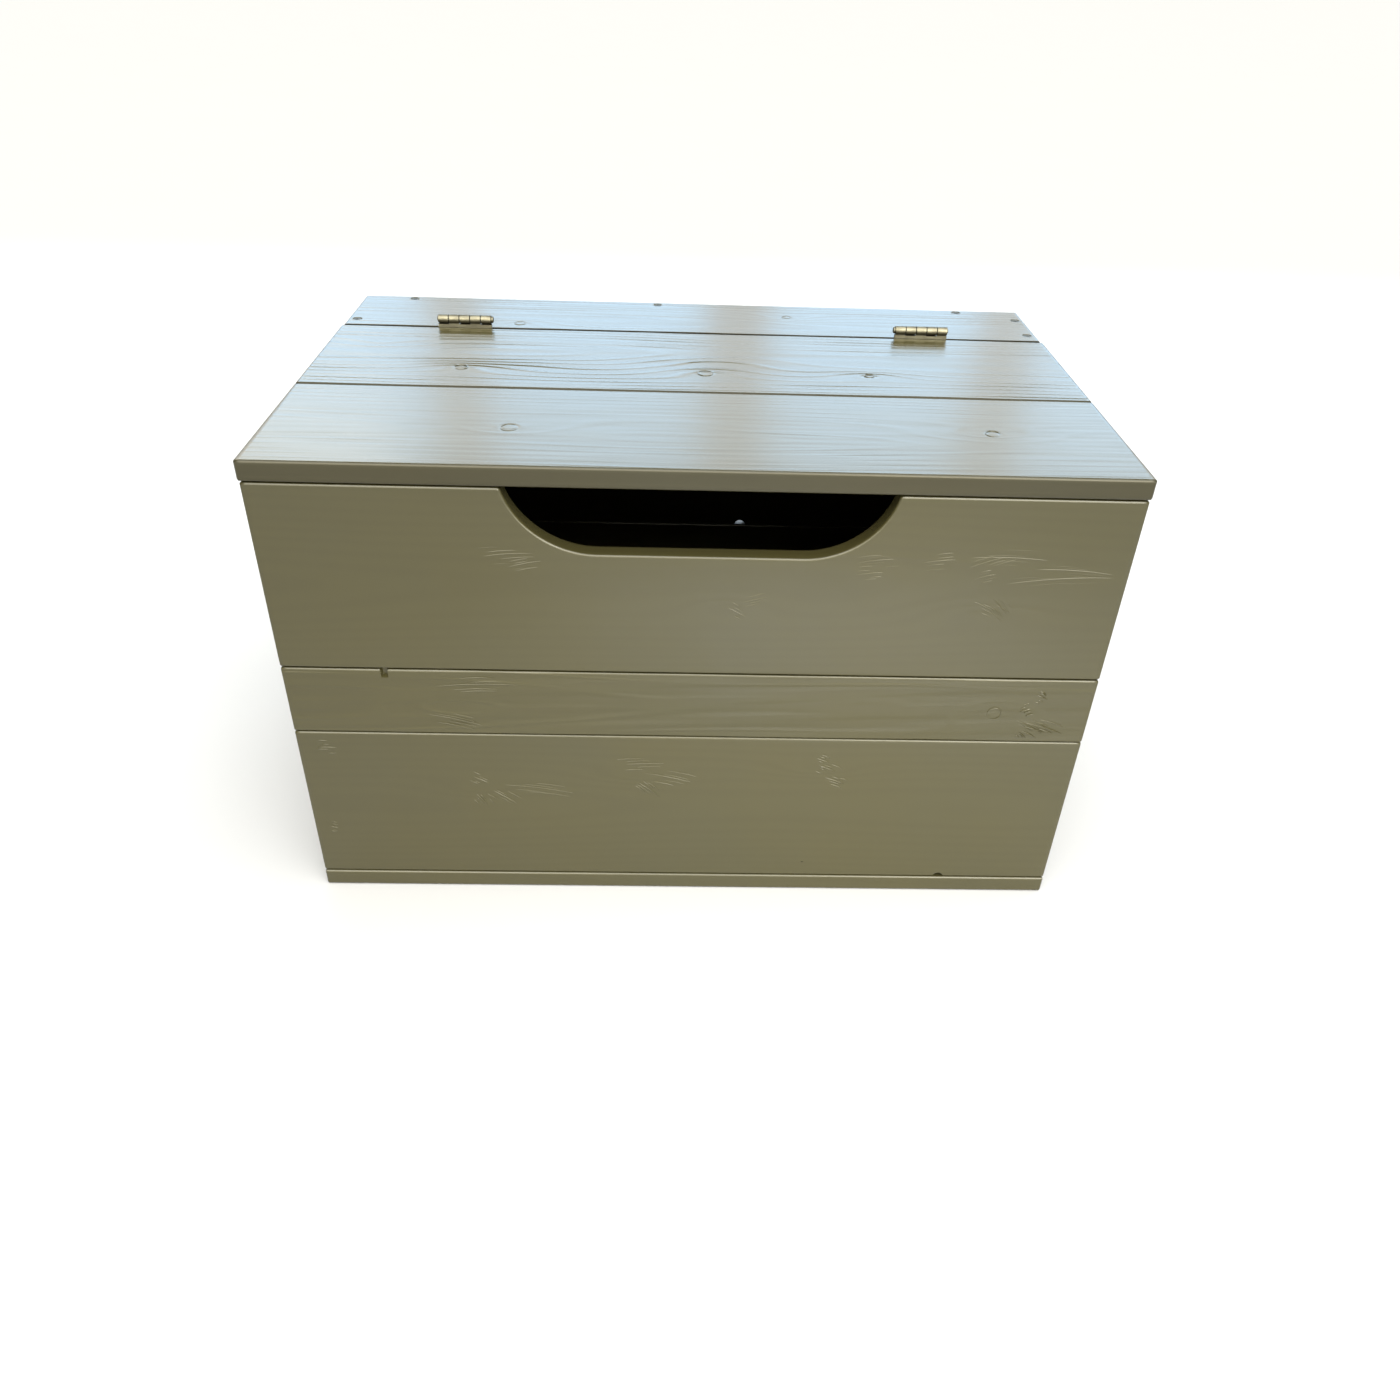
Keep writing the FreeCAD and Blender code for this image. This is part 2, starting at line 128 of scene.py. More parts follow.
def paintedWood(name, place, rings=None, evenShade=0.0):
    # satin paint over planed softwood: place is the piece's own along, across and depth in metres; boards
    # have rings and a painted seam shade at each point, other pieces one even painted shade or none
    material, tree, shader = newMaterial(name)
    patches = noise(tree, stretched(tree, place(tree), paintLook["patches"]), detail=3.0)
    greyness = spread(tree, patches, *paintLook["patchSpan"], 0.0, 1.0)
    tint = blendColour(tree, greyness, paintLook["warm"], paintLook["grey"])
    fibre = noise(tree, stretched(tree, place(tree), paintLook["fibre"]), detail=3.0, roughness=0.6)
    ripple = bump(tree, fibre, paintLook["fibreStrength"], paintLook["fibreDepth"])
    if rings:
        wave = math(tree, "COSINE", math(tree, "MULTIPLY", rings(tree), 2 * np.pi))
        valley = spread(tree, wave, *paintLook["ringSpan"], paintLook["ringShade"], 0.0)
        tint = blendColour(tree, valley, tint, paintLook["hollow"])
    streaks = noise(tree, stretched(tree, place(tree), paintLook["streaks"]))
    roughness = spread(tree, streaks, *paintLook["streakSpan"], *paintLook["roughness"])
    # painted shade: grooves' far walls, the lid's front edge, cracks and screw recesses are painted darker,
    # rougher and without gloss
    if rings or evenShade:
        shade = fromAttribute("seamShade", "Fac")(tree) if rings else evenShade
        tint = blendColour(tree, shade, tint, paintLook["seam"])
        matteShade = math(tree, "MULTIPLY", shade, shade)
        roughness = math(tree, "ADD", roughness, math(tree, "MULTIPLY", matteShade, paintLook["seamRoughness"]))
        tree.links.new(matteShade, shader.inputs["Metallic"])  # with the dark tint this takes the gloss away, so the painted shade stays matte
    tree.links.new(tint, shader.inputs["Base Color"])
    tree.links.new(roughness, shader.inputs["Roughness"])
    tree.links.new(ripple, shader.inputs["Normal"])
    return material


def fromAttribute(name, output):
    def place(tree):
        return addNode(tree, "ShaderNodeAttribute", attribute_name=name).outputs[output]
    return place


def fromObject(tree):
    return addNode(tree, "ShaderNodeTexCoord").outputs["Object"]


def turnedObject(turn):
    # object coordinates with the batten's own length brought onto X
    def place(tree):
        inputs = {"Vector": fromObject(tree), "Rotation": turn}
        return addNode(tree, "ShaderNodeMapping", inputs).outputs["Vector"]
    return place


metalLook = {
    "brass": {
        "low": (0.118, 0.109, 0.079, 1.0), "high": (0.178, 0.166, 0.121, 1.0), "roughness": (0.36, 0.48),
    },
    "zinc": {
        "low": (0.42, 0.41, 0.36, 1.0), "high": (0.70, 0.69, 0.64, 1.0), "roughness": (0.28, 0.45),
    },
    "clouds": (90.0, 160.0, 160.0),      # per metre
    "tintSpan": (0.3, 0.62),             # noise values of the low and the high tint
    "roughSpan": (0.3, 0.7),             # noise values at the most and the least roughness
    "rolling": (60.0, 2500.0, 2500.0),   # per metre, fine lines along X
    "rollingStrength": 0.25,
    "rollingDepth": 0.04 * mm,
}

# painted shade on the hinges, where two knuckles meet and on the notch floors under the rail's knuckles
hingeShade = {
    "tint": (0.010, 0.008, 0.005, 1.0),
    "pitch": 12 * mm,                        # length of a knuckle
    "floor": 505.35 * mm,                    # height of the notches in the leaves
    "seamHalf": (0.20 * mm, 0.60 * mm),      # full and no darkness, from the joint's middle
    "floorHalf": (0.30 * mm, 0.70 * mm),
    "notchHalf": (5.5 * mm, 6.1 * mm),
    "left": {"seam": -292 * mm, "notch": -262 * mm},
    "right": {"seam": 229 * mm, "notch": 271 * mm},
}


def hingeShadeMask(tree, side):
    # painted shade where two knuckles meet and on the floor of the notches under the rail's knuckles
    start = hingeShade[side]
    axes = addNode(tree, "ShaderNodeSeparateXYZ", {0: fromObject(tree)}).outputs
    pitch = hingeShade["pitch"]
    toSeam = math(tree, "PINGPONG", math(tree, "SUBTRACT", axes["X"], start["seam"]), pitch / 2)
    toNotch = math(tree, "PINGPONG", math(tree, "SUBTRACT", axes["X"], start["notch"]), pitch)
    toFloor = math(tree, "ABSOLUTE", math(tree, "SUBTRACT", axes["Z"], hingeShade["floor"]))
    seam = spread(tree, toSeam, *hingeShade["seamHalf"], 1.0, 0.0)
    seam = math(tree, "MULTIPLY", seam, math(tree, "GREATER_THAN", axes["Z"], hingeShade["floor"]))
    floor = spread(tree, toFloor, *hingeShade["floorHalf"], 1.0, 0.0)
    floor = math(tree, "MULTIPLY", floor, spread(tree, toNotch, *hingeShade["notchHalf"], 1.0, 0.0))
    return math(tree, "MAXIMUM", seam, floor)


def platedMetal(name, look, side=None):
    # plated steel: cloudy tint, fine rolling lines along X and, on a hinge, painted shade in its joints and
    # notches
    material, tree, shader = newMaterial(name)
    clouds = noise(tree, stretched(tree, fromObject(tree), metalLook["clouds"]), detail=4.0, roughness=0.6)
    paleness = spread(tree, clouds, *metalLook["tintSpan"], 0.0, 1.0)
    tint = blendColour(tree, paleness, look["low"], look["high"])
    if side:
        tint = blendColour(tree, hingeShadeMask(tree, side), tint, hingeShade["tint"])
    smoothest, roughest = look["roughness"]
    roughness = spread(tree, clouds, *metalLook["roughSpan"], roughest, smoothest)
    lines = noise(tree, stretched(tree, fromObject(tree), metalLook["rolling"]))
    ripple = bump(tree, lines, metalLook["rollingStrength"], metalLook["rollingDepth"])
    tree.links.new(tint, shader.inputs["Base Color"])
    tree.links.new(roughness, shader.inputs["Roughness"])
    tree.links.new(ripple, shader.inputs["Normal"])
    shader.inputs["Metallic"].default_value = 1.0
    return material


boardPlace = fromAttribute("boardPlace", "Vector")
boardPaint = paintedWood("boardPaint", boardPlace, fromAttribute("growthRings", "Fac"))
uprightPaint = paintedWood("uprightPaint", turnedObject((0.0, np.pi / 2, 0.0)))
crossPaint = paintedWood("crossPaint", turnedObject((0.0, 0.0, np.pi / 2)))
# the painted-over rail screws get an even painted shade for the shadow in their recesses
screwPaint = paintedWood("screwPaint", fromObject, evenShade=paintLook["screwShade"])
hingeBrass = {
    side: platedMetal(side + "HingeBrass", metalLook["brass"], side) for side in ("left", "right")
}
screwBrass = platedMetal("screwBrass", metalLook["brass"])
screwZinc = platedMetal("screwZinc", metalLook["zinc"])
print("finishes:", len(bpy.data.materials))


# Meshes

def outwardNormals(rings):
    # cross product of the steps along and around, turned away from each ring's middle
    steps = np.gradient(rings, axis=0)
    turns = np.roll(rings, -1, axis=1) - np.roll(rings, 1, axis=1)
    normals = np.cross(steps, turns)
    normals /= np.maximum(np.linalg.norm(normals, axis=-1, keepdims=True), 1e-12)
    away = rings - rings.mean(axis=1, keepdims=True)
    return normals * np.sign((normals * away).sum())


def skinFaces(count, around):
    # quads between neighbouring rings, each ring closed on itself, and one polygon over each end
    index = np.arange(count * around).reshape(count, around)
    following = np.roll(index, -1, axis=1)
    quads = np.stack([index[:-1], following[:-1], following[1:], index[1:]], axis=-1).reshape(-1, 4)
    corners = np.concatenate([quads.ravel(), index[0, ::-1], index[-1]])
    starts = np.append(np.arange(len(quads) + 1) * 4, len(quads) * 4 + around)
    return corners, starts


def joinSkins(skins):
    # one list of points and faces for several closed skins, each with its faces turned outwards
    points, corners, starts = [], [], []
    pointCount, cornerCount = 0, 0
    for rings in skins:
        skinCorners, skinStarts = skinFaces(*rings.shape[:2])
        across = np.cross(np.gradient(rings, axis=0), np.gradient(rings, axis=1))
        if (outwardNormals(rings) * across).sum() > 0:
            index = np.arange(rings.shape[0] * rings.shape[1]).reshape(rings.shape[:2])
            skinCorners = index[:, ::-1].ravel()[skinCorners]
        points.append(rings.reshape(-1, 3))
        corners.append(skinCorners + pointCount)
        starts.append(skinStarts + cornerCount)
        pointCount += len(points[-1])
        cornerCount += len(skinCorners)
    return np.concatenate(points), np.concatenate(corners), np.concatenate(starts)


def buildMesh(name, points, corners, starts):
    mesh = bpy.data.meshes.new(name)
    mesh.vertices.add(len(points))
    mesh.vertices.foreach_set("co", points.astype(np.float32).ravel())
    mesh.loops.add(len(corners))
    mesh.loops.foreach_set("vertex_index", corners.astype(np.int32))
    mesh.polygons.add(len(starts))
    mesh.polygons.foreach_set("loop_start", starts.astype(np.int32))
    mesh.update(calc_edges=True)
    mesh.validate()
    mesh.shade_smooth()
    mesh.set_sharp_from_angle(angle=boardForm["sharpAngle"])
    return mesh


def addPiece(mesh, node, material):
    mesh.materials.append(material)
    piece = bpy.data.objects.new(mesh.name, mesh)
    bpy.context.scene.collection.objects.link(piece)
    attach(piece, bodyOfNode[node])
    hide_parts(node)


# Screw places, read off the CAD screws

seatForm = {
    "flatness": 0.05 * mm,            # of one head's face
    "apart": 11 * mm,                 # two heads are further apart than this
    "filled": (-380 * mm, 200 * mm),  # X and Y: the one to the left of this and behind it is puttied over
}


def gapGroups(values, gap):
    # numbers the clusters of sorted values that lie further apart than the gap
    order = np.argsort(values)
    labels = np.empty(len(values), int)
    labels[order] = np.cumsum(np.append(0, np.diff(values[order]) > gap))
    return labels


def screwSeats(node, axis, inward):
    # middles of the heads whose flat faces lie on the outermost plane across the axis
    points = np.array([vertex.co for vertex in frame["nodes"][node].data.vertices])
    height = points[:, axis] * -inward
    faces = points[height > height.max() - seatForm["flatness"]]
    others = [k for k in range(3) if k != axis]
    labels = np.stack([gapGroups(faces[:, k], seatForm["apart"]) for k in others], axis=1)
    groups, member = np.unique(labels, axis=0, return_inverse=True)
    heads = [faces[member.ravel() == g] for g in range(len(groups))]
    return np.array([(head.min(0) + head.max(0)) / 2 for head in heads])


railSeats = screwSeats("rail_screws", 2, -1)
filledSeat = (railSeats[:, 0] < seatForm["filled"][0]) & (railSeats[:, 1] > seatForm["filled"][1])
railSeats = railSeats[~filledSeat]
baseSeats = screwSeats("base_screws", 2, 1)
print("screw seats:", len(railSeats), "in the rail,", len(baseSeats), "in the base")


# Boards

boardForm = {
    "edgeRound": 2.5 * mm,
    "leastRound": 0.05 * mm,      # of the loops that shrink over an end face
    "endEase": 1.2 * mm,
    "sideEase": 0.3 * mm,         # the same for the side walls, whose ends meet front and back
    "roundSteps": 5,
    "rimStep": 2.5 * mm,
    "capRows": 6,
    "capTip": 0.3 * mm,           # half thickness of the last loop on an end face
    "hiddenStep": 8.0 * mm,
    "nearest": 0.2 * mm,          # columns and rows lie further apart than this
    "scoopStep": 2 * mm,
    "cornerStep": 0.5 * mm,
    "sharpAngle": 0.7,            # radians, beyond which smooth shading breaks
    "paintSkin": 0.26 * mm,       # the flat paint lies this far inside the CAD face
    "rimRelief": 0.4,             # share of the relief that runs on over the edges
    "shadeGain": 1.5,             # how soon an edge's painted shade reaches its full strength on the rounding
    "dishRadius": 5.4 * mm,
    "dishDepth": 1.0 * mm,
    "dishEdge": 0.94,             # in its radius, where the dish is half as deep
    "dishSteepness": 40,          # of its wall
}

# along, across and outward axis of the boards on each side
boardAxes = {
    "front": ((1, 0, 0), (0, 0, 1), (0, -1, 0)),
    "back": ((-1, 0, 0), (0, 0, 1), (0, 1, 0)),
    "left": ((0, -1, 0), (0, 0, 1), (-1, 0, 0)),
    "right": ((0, 1, 0), (0, 0, 1), (1, 0, 0)),
    "base": ((1, 0, 0), (0, 1, 0), (0, 0, -1)),
    "top": ((1, 0, 0), (0, 1, 0), (0, 0, 1)),
}

scoop = {
    "depth": 64 * mm,
    "flat": 188 * mm,
    "shift": 3 * mm,
    "leftRadius": 88 * mm,
    "rightRadius": 83 * mm,
    "corner": 4 * mm,
}


def slowWaves(place, lengths, seed, count=7):
    # plane waves of seeded direction and phase added up, about -1 to 1; lengths are those of the waves
    # on each axis
    draw = np.random.default_rng(seed)
    turns = draw.normal(size=(count, 3)) * (2 * np.pi / np.array(lengths))
    phases = draw.uniform(0, 2 * np.pi, count)
    waves = sum(np.sin(place @ turn + phase) for turn, phase in zip(turns, phases))
    return waves / np.sqrt(count)


def ringBulges(look):
    # middle along and across, reach along and across, lift in rings: one round each knot, and the swells
    reach, half = look["knotReach"]
    lift = look["knotLift"]
    knots = [(x, across, reach * radius, half * radius, lift) for x, across, radius in look["knots"]]
    return knots + look["swells"]


ringForm = {
    "drift": 0.03,      # sideways sway of the pith, in the board's width
    "driftTurn": 3,     # radians over the board's length
    "bellPower": 1.5,
}


def growthRings(look, place, size):
    # distance from the pith, a line under the face that sinks and rises along the board, in ring widths;
    # at a knot or a swell the rings rise by a bell-shaped hill, so that they pass it in long ovals
    along, across, depth = np.moveaxis(place, -1, 0)
    x = along - size[0] / 2
    draw = np.random.default_rng(look["seed"])
    phase = draw.uniform(0, 2 * np.pi, 2)
    pithDepth = look["pithDepth"] + look["taper"] * x
    pithDepth = pithDepth + look["swell"] * np.sin(2 * np.pi * along / look["swellLength"] + phase[0])
    drift = ringForm["drift"] * size[1] * np.sin(ringForm["driftTurn"] * along / size[0] + phase[1])
    pithAcross = look["pithAcross"] * size[1] + drift
    rings = np.hypot(across - pithAcross, depth + pithDepth) / look["ringWidth"]
    rings = rings + look["wander"] * slowWaves(place, look["wanderLengths"], look["seed"] + 1)
    for middle, level, reach, half, lift in ringBulges(look):
        away = np.hypot((x - middle) / reach, (across - level) / half)
        rings = rings + lift * np.exp(-away ** ringForm["bellPower"])
    return rings


reliefForm = {
    "fading": (0.6, 0.5),                           # middle and swing of the ridges' strength
    "fadingLimits": (0.12, 1.3),
    "fadingLengths": (420 * mm, 30 * mm, 30 * mm),
    "bulgeReach": 1.3,                              # of the stronger ridges, in the bulge's own reach
    "knotGroove": 0.30 * mm,
    "grooveWidth": 0.22,                            # in the knot's radius
    "grooveSides": (0.6, 0.4),                      # middle and swing of its depth, most at the upper side
    "knotDome": 0.08 * mm,
    "planeDepth": 0.03 * mm,                        # slow waves left by the plane
    "planeLengths": (220 * mm, 90 * mm, 90 * mm),
    "chatterLengths": (11 * mm, 70 * mm, 70 * mm),
    "chatterWaves": 12,
}


def faceRelief(look, place, size, rings, dishes):
    # all of it lies at or below the CAD face: a skin of paint, ridges of hard wood between hollows,
    # a ring and a low dome at each knot, and a dish over each sunk screw
    along, across = np.moveaxis(place, -1, 0)[:2]
    x = along - size[0] / 2
    turn = rings % 1.0
    climb = np.clip((turn - look["foot"]) / (look["crest"] - look["foot"]), 0, 1)
    fall = np.clip((1 - turn) / (1 - look["crest"]), 0, 1)
    slope = np.minimum(climb, fall)
    ridge = slope ** 2 * (3 - 2 * slope)
    usual, swing = reliefForm["fading"]
    fading = usual + swing * slowWaves(place, reliefForm["fadingLengths"], look["seed"] + 3)
    strength = look["ridge"] * np.clip(fading, *reliefForm["fadingLimits"])
    wider = reliefForm["bulgeReach"]
    for middle, level, reach, half, lift in ringBulges(look):
        near = np.hypot((x - middle) / (wider * reach), (across - level) / (wider * half))
        strength = strength + look["knotRidge"] * np.exp(-near ** 2)
    marks = np.zeros(along.shape)
    usual, swing = reliefForm["grooveSides"]
    for knotX, knotAcross, radius in look["knots"]:
        away = np.hypot(x - knotX, across - knotAcross) / radius
        side = usual + swing * np.sin(np.arctan2(across - knotAcross, x - knotX))
        groove = np.exp(-((away - 1) / reliefForm["grooveWidth"]) ** 2)
        marks = marks - reliefForm["knotGroove"] * side * groove
        marks = marks + reliefForm["knotDome"] * np.clip(1 - away ** 2, 0, 1)
    plane = reliefForm["planeDepth"] * slowWaves(place, reliefForm["planeLengths"], look["seed"] + 2)
    chatter = slowWaves(place, reliefForm["chatterLengths"], look["seed"] + 4, reliefForm["chatterWaves"])
    plane = plane + look["chatter"] * chatter
    height = marks + plane - strength * (1 - ridge) - boardForm["paintSkin"]
    for dishAlong, dishAcross in dishes:
        away = np.hypot(along - dishAlong, across - dishAcross) / boardForm["dishRadius"]
        # a dish is depth / (1 + e^wall), clipped so that the power stays small
        wall = np.clip((away - boardForm["dishEdge"]) * boardForm["dishSteepness"], -50, 50)
        height = height - boardForm["dishDepth"] / (1 + np.exp(wall))
    return np.minimum(height, 0)


lineForm = {
    "steps": 20,
    "around": 8,
    "half": 0.65 * mm,       # half its width
    "lift": 0.80 * mm,       # half its height
    "sink": 0.30 * mm,       # how deep its middle lies under the paint
    "spare": 0.02 * mm,      # left between a line and the CAD face
    "taperPower": 0.6,
    "tip": 0.08,             # share of the full size at its ends
    "bow": 0.03,             # rise of the bend as a share of the length
    "margin": 5 * mm,        # no line comes nearer to the board's edges
    "fullLength": 45 * mm,   # longer ones are fainter
    "faintest": 0.66,
    "echoSide": (2.2 * mm, 4.5 * mm),
    "echoSlide": 0.2,        # in the fleck's length
    "echoLength": (0.35, 0.75),
    "echoStrength": (0.60, 0.85),
    "knotTurn": 5.9,         # a knot's outline is nearly a full turn, in radians
    "knotStrength": 0.85,
    "crackStrength": 0.6,
}


def grainLines(look, size):
    # places along and across, strength and painted shade of each line: the listed flecks bow a little, and
    # shorter, fainter ones lie on each side of them; the outline of a knot is most of a circle
    draw = np.random.default_rng(look["seed"] + 5)
    run = np.linspace(-1, 1, lineForm["steps"])
    lines = []
    for x, across, length, angle in look["flecks"]:
        turn = np.radians(angle)
        ahead, beside = np.array([np.cos(turn), np.sin(turn)]), np.array([-np.sin(turn), np.cos(turn)])
        shown = np.clip(lineForm["fullLength"] / length, lineForm["faintest"], 1)
        for side in (-2, -1, 0, 1, 2):
            offset = side * draw.uniform(*lineForm["echoSide"])
            slide = side * draw.uniform(-lineForm["echoSlide"], lineForm["echoSlide"]) * length
            share = draw.uniform(*lineForm["echoLength"]) if side else 1.0
            strength = draw.uniform(*lineForm["echoStrength"]) if side else 1.0
            reach = share * length / 2
            rise = offset + 2 * lineForm["bow"] * reach * (1 - run ** 2)
            path = np.array([x, across]) + np.outer(slide + reach * run, ahead) + np.outer(rise, beside)
            lines.append((path, strength * look["fleckStrength"] * shown, 0.0))
    for x, across, radius in look["knots"]:
        angles = draw.uniform(0, 2 * np.pi) + lineForm["knotTurn"] * run / 2
        path = np.array([x, across]) + radius * np.stack([np.cos(angles), np.sin(angles)], axis=1)
        lines.append((path, lineForm["knotStrength"], 0.0))
    # a crack is a low raised line with painted shade for the shadow in its groove
    for x, across, length, angle, shade in look["cracks"]:
        turn = np.radians(angle)
        path = np.array([x, across]) + np.outer(length / 2 * run, [np.cos(turn), np.sin(turn)])
        lines.append((path, lineForm["crackStrength"], shade))
    lowest = np.array([-size[0] / 2, 0.0]) + lineForm["margin"]
    highest = np.array([size[0] / 2, size[1]]) - lineForm["margin"]
    kept = []
    for path, strength, shade in lines:
        back = np.minimum(highest - path.max(axis=0), 0) + np.maximum(lowest - path.min(axis=0), 0)
        kept.append((path + back, strength, shade))
    return kept


def raisedLine(path, strength, size, setBack):
    # flattened spindle: an ellipse carried along the path, its height growing as the root of the strength
    # and its size falling to a point as (1 - t^2)^0.6; its middle is sunk under the paint so that only a
    # low cap shows, and none of it is above the CAD face
    middle = boardForm["paintSkin"] + lineForm["sink"]
    lift = min(lineForm["lift"] * strength ** 0.5, setBack + middle - lineForm["spare"])
    run = np.linspace(-1, 1, len(path))[:, None]
    taper = np.maximum((1 - run ** 2) ** lineForm["taperPower"], lineForm["tip"])
    turn = np.linspace(0, 2 * np.pi, lineForm["around"], endpoint=False)
    ahead = np.gradient(path, axis=0)
    ahead = ahead / np.linalg.norm(ahead, axis=1, keepdims=True)
    aside = lineForm["half"] * taper * np.cos(turn)
    along = path[:, :1] + size[0] / 2 - ahead[:, 1:] * aside
    across = path[:, 1:] + ahead[:, :1] * aside
    depth = middle - lift * taper * np.sin(turn)
    return np.stack([along, across, depth], axis=-1)


def sectionTemplate(frontRows, size):
    # one turn round a board's section, from the show face's lower edge: rise is 0 at the lower edge and 1 at
    # the upper, sink 0 at the show face and 1 at the hidden one; edge and face are the parts of the rounding
    quarter = np.linspace(0, np.pi / 2, boardForm["roundSteps"] + 1)
    backRows = np.linspace(1, 0, max(3, int(size[1] / boardForm["hiddenStep"])))
    rimRows = np.linspace(0, 1, max(3, int(size[2] / boardForm["rimStep"])))
    one, zero = np.ones_like, np.zeros_like
    parts = [
        (frontRows, zero(frontRows), zero(frontRows), -one(frontRows)),
        (one(quarter), zero(quarter), np.sin(quarter), -np.cos(quarter)),
        (one(rimRows), rimRows, one(rimRows), zero(rimRows)),
        (one(quarter), one(quarter), np.cos(quarter), np.sin(quarter)),
        (backRows, one(backRows), zero(backRows), one(backRows)),
        (zero(quarter), one(quarter), np.sin(quarter), np.cos(quarter)),
        (zero(rimRows), 1 - rimRows, one(rimRows), zero(rimRows)),
        (zero(quarter), zero(quarter), np.cos(quarter), -np.sin(quarter)),
    ]
    return [np.concatenate([part[k][:-1] for part in parts]) for k in range(4)]


def boardRings(upper, upperNormal, size, frontRows, ease):
    # section loops carried along the board: upper are the (along, across) points of its upper edge and
    # upperNormal their outward normals; at each end the loop shrinks into the middle of the end face;
    # gives the points, the share of the relief that each takes, and which lie on the lower edge
    rise, sink, edge, face = sectionTemplate(frontRows, size)
    length, width, thick = size
    capInset = np.linspace(thick / 2 - boardForm["capTip"], ease, boardForm["capRows"])
    inset = np.concatenate([capInset, np.zeros(len(upper)), capInset[::-1]])[:, None]
    start = np.tile([[0.0, width]], (len(capInset), 1))
    upper = np.concatenate([start, upper, start + [length, 0.0]])
    straight = np.tile([[0.0, 1.0]], (len(capInset), 1))
    normal = np.concatenate([straight, upperNormal, straight])
    radius = np.maximum(boardForm["edgeRound"] - inset, boardForm["leastRound"])
    middle = inset + radius
    topAlong = upper[:, :1] - middle * normal[:, :1]
    topAcross = upper[:, 1:] - middle * normal[:, 1:]
    atTop = (rise == 1) * edge * radius
    atFoot = (rise == 0) * edge * radius
    along = topAlong + atTop * normal[:, :1]
    across = middle + rise * (topAcross - middle) + atTop * normal[:, 1:] - atFoot
    depth = middle + sink * (thick - 2 * middle) + face * radius
    local = np.stack(np.broadcast_arrays(along, across, depth), axis=-1)
    onFace = np.where(face < 0, face ** 2, 0)
    onRim = edge * (sink < 1)
    weight = np.clip(onFace + boardForm["rimRelief"] * onRim, 0, 1) * (inset == 0)
    lowerRim = np.broadcast_to((rise == 0) * edge, along.shape)
    return local, weight, lowerRim


def arcPoints(radius, start, end, step):
    # even steps on an arc about zero: the points, and their directions (cos, sin)
    angles = np.linspace(start, end, max(4, int(abs(end - start) * radius / step)))
    ways = np.stack([np.cos(angles), np.sin(angles)], axis=1)
    return radius * ways, ways


def scoopOutline(size, columns):
    # upper edge with the hand cut-out: straight, a small rounded corner, a large arc down to the flat,
    # and back up; gives its points and their outward normals
    length, width = size[:2]
    nearest = boardForm["nearest"]
    corner = scoop["corner"]
    points, normals = [], []
    for side, radius in ((-1, scoop["leftRadius"]), (1, scoop["rightRadius"])):
        middleX = length / 2 + scoop["shift"] + side * scoop["flat"] / 2
        middle = np.array([middleX, width - scoop["depth"] + radius])
        drop = middle[1] - (width - corner)
        cornerX = middle[0] + side * np.sqrt((radius + corner) ** 2 - drop ** 2)
        cornerMiddle = np.array([cornerX, width - corner])
        toCorner = np.arctan2(cornerMiddle[1] - middle[1], side * (cornerMiddle[0] - middle[0]))
        run = columns[::-side]
        run = run[side * (run - cornerX) > nearest]
        straight = np.stack([run, np.full(len(run), width)], axis=1)
        roundPoints, roundWays = arcPoints(corner, np.pi / 2, np.pi + toCorner, boardForm["cornerStep"])
        bigPoints, bigWays = arcPoints(radius, toCorner, -np.pi / 2, boardForm["scoopStep"])
        flip = np.array([side, 1])
        points.append([straight, cornerMiddle + roundPoints * flip, (middle + bigPoints * flip)[1:]])
        normals.append([np.tile([[0.0, 1.0]], (len(straight), 1)), roundWays * flip, -bigWays[1:] * flip])
    flatStart, flatEnd = (points[k][2][-1, 0] for k in (0, 1))
    flatX = columns[(columns > flatStart + nearest) & (columns < flatEnd - nearest)]
    flat = np.stack([flatX, np.full(len(flatX), width - scoop["depth"])], axis=1)
    flatNormals = np.tile([[0.0, 1.0]], (len(flat), 1))
    back = [part[::-1] for part in points[1][::-1]]
    backNormals = [part[::-1] for part in normals[1][::-1]]
    upper = np.concatenate(points[0] + [flat] + back)
    ways = np.concatenate(normals[0] + [flatNormals] + backNormals)
    return upper, ways


def crowded(start, end, step, spots):
    # even steps from start to end, with finer ones round each spot: place, reach, fine step
    even = np.linspace(start, end, int((end - start) / step) + 1)
    close = [np.arange(place - reach, place + reach, fine) for place, reach, fine in spots]
    every = np.sort(np.concatenate([even, *close]))
    every = every[(every >= start) & (every <= end)]
    keep = np.append(True, np.diff(every) > boardForm["nearest"])
    return np.append(every[keep][:-1], end)


focusForm = {
    "knotColumns": (1.8, 0.9 * mm),  # reach in the knot's radius, fine step
    "knotRows": (1.6, 0.8 * mm),
    "dish": (7 * mm, 0.6 * mm),      # reach, fine step
    "notch": (1 * mm, 0.4 * mm),     # reach beyond its radius, fine step
    "chipStep": 0.4 * mm,
    "chipRows": (2 * mm, 0.5 * mm),  # reach below it, fine step
}


def focusSpots(look, size, dishes):
    # where a board's columns and rows are drawn closer: knots, screw dishes, notches and chips
    middle, width = size[0] / 2, size[1]
    share, step = focusForm["knotColumns"]
    columns = [(middle + x, share * radius, step) for x, across, radius in look["knots"]]
    columns += [(along, *focusForm["dish"]) for along, across in dishes]
    beyond, step = focusForm["notch"]
    columns += [(middle + x, radius + beyond, step) for x, radius, reach in look["notches"]]
    columns += [(middle + x, wide, focusForm["chipStep"]) for x, wide, tall, deep in look["chips"]]
    share, step = focusForm["knotRows"]
    rows = [(across, share * radius, step) for x, across, radius in look["knots"]]
    rows += [(across, *focusForm["dish"]) for along, across in dishes]
    below, step = focusForm["chipRows"]
    rows += [(width, tall + below, step) for x, wide, tall, deep in look["chips"]]
    return columns, rows


